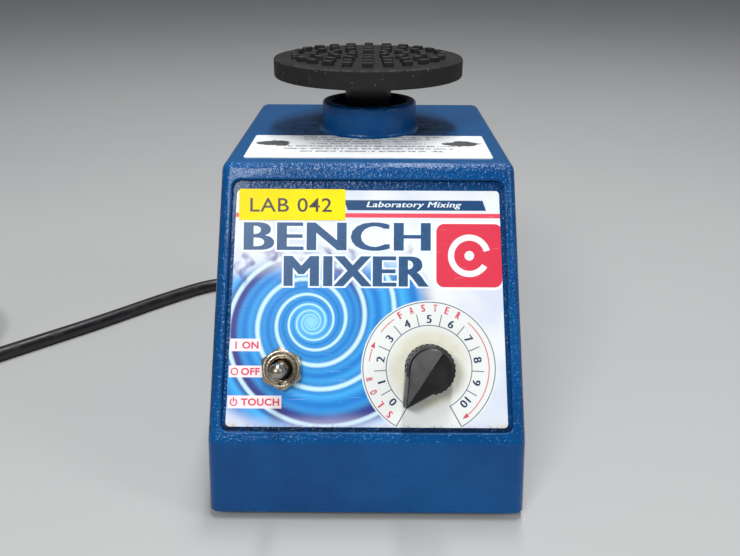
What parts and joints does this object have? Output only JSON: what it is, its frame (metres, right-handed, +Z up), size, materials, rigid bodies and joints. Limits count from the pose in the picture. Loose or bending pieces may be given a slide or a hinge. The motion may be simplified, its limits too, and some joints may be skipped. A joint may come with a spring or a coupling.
{
  "type": "vortex mixer",
  "caption": "Bench vortex mixer: cast sloped-front housing, toggle switch, speed dial, round rubber platform on a sprung eccentric drive, coiled mains cord.",
  "frame": {"origin": "on the bench, under the middle of the mixer without its cord", "axes": "+X to the right as the user sees the panel, +Y away from the user, +Z up"},
  "size_m": [0.3822, 0.2313, 0.163],
  "materials": {
    "cast_paint": "hammered gloss enamel",
    "plate_steel": "zinc plated sheet",
    "zinc_steel": "zinc plated",
    "black_rubber": "matt",
    "grey_rubber": "worn matt",
    "print_film": "printed film",
    "white_film": "printed film",
    "tag_paper": "laminated paper",
    "nickel": "nickel plated",
    "black_plastic": "moulded",
    "switch_case": "moulded",
    "brass": "turned",
    "bronze": "sintered",
    "laminations": "stacked sheet",
    "copper": "enamelled wire",
    "cast_alloy": "as cast",
    "ground_steel": "ground",
    "green_board": "solder mask",
    "film_capacitor": "moulded",
    "green_plastic": "moulded",
    "red_plastic": "moulded",
    "nylon": "natural",
    "cord_jacket": "satin"
  },
  "bodies": {
    "base": {"housing": "cast_paint", "base_plate": "plate_steel", "base_screws": "zinc_steel", "rubber_feet": "black_rubber", "front_label": "print_film", "top_label": "white_film", "asset_tag": "tag_paper", "collar_seal": "black_rubber", "toggle_body": "switch_case", "toggle_bushing": "nickel", "toggle_washer": "nickel", "toggle_nut": "nickel", "pot_body": "switch_case", "pot_bushing": "brass", "pot_nut": "nickel", "motor_standoffs": "zinc_steel", "vibration_mounts": "black_rubber", "lower_bell": "cast_alloy", "lower_bearing": "bronze", "stator_core": "laminations", "field_coils": "copper", "upper_bell": "cast_alloy", "upper_bearing": "bronze", "through_bolts": "zinc_steel", "thrust_guide": "brass", "touch_spring": "ground_steel", "microswitch_bracket": "plate_steel", "microswitch_body": "switch_case", "control_board": "green_board", "board_spacers": "nylon", "power_triac": "cast_alloy", "board_capacitors": "film_capacitor", "terminal_block": "green_plastic", "strain_relief": "cord_jacket", "power_cord": "cord_jacket", "cord_coil": "cord_jacket", "cord_tail": "cord_jacket", "cord_tie": "black_plastic", "plug_body": "cord_jacket", "plug_pins": "nickel"},
    "touch_carriage": {"thrust_plunger": "ground_steel", "thrust_ball": "ground_steel"},
    "rotor": {"motor_shaft": "ground_steel", "rotor_core": "laminations", "cooling_fan": "black_plastic", "eccentric_hub": "cast_alloy", "hub_set_screw": "zinc_steel", "counterweight": "brass", "counterweight_screws": "zinc_steel", "head_bearing": "ground_steel"},
    "head": {"head_post": "ground_steel", "dust_shield": "black_rubber"},
    "platform": {"platform_plate": "black_plastic", "platform_cover": "grey_rubber"},
    "toggle": {"toggle_lever": "nickel"},
    "knob": {"speed_knob": "black_plastic", "pot_shaft": "ground_steel", "knob_set_screw": "zinc_steel"},
    "switch_button": {"microswitch_button": "red_plastic"}
  },
  "joints": [
    {"name": "touch_press", "type": "slide", "parent": "base", "child": "touch_carriage", "axis": [0, 0, 1], "range_m": [-0.0015, 0], "stiffness_N_per_m": 8000, "springref_m": 0.002, "deforming": ["touch_spring"]},
    {"name": "motor_spin", "type": "hinge", "parent": "touch_carriage", "child": "rotor", "pos_m": [0, 0.02355, 0.06], "axis": [0, 0, 1], "continuous": true},
    {"name": "head_orbit", "type": "hinge", "parent": "rotor", "child": "head", "pos_m": [-0.00048, 0.026, 0.12], "axis": [0, 0, 1], "continuous": true},
    {"name": "platform_lift", "type": "slide", "parent": "head", "child": "platform", "axis": [0, 0, 1], "range_m": [0, 0.012]},
    {"name": "toggle_lever_tilt", "type": "hinge", "parent": "base", "child": "toggle", "pos_m": [-0.032, -0.06788, 0.05893], "axis": [-1, 0, 0], "range_deg": [-13, 13]},
    {"name": "speed_knob_turn", "type": "hinge", "parent": "base", "child": "knob", "pos_m": [0.02335, -0.06948, 0.06021], "axis": [0, 0.8988, -0.4384], "range_deg": [0, 295]},
    {"name": "switch_button_press", "type": "slide", "parent": "base", "child": "switch_button", "axis": [0, 0, 1], "range_m": [-0.0015, 0]}
  ],
  "couplings": [
    {"joint": "head_orbit", "follows": "motor_spin", "ratio": -1},
    {"joint": "switch_button_press", "follows": "touch_press", "ratio": 1}
  ]
}
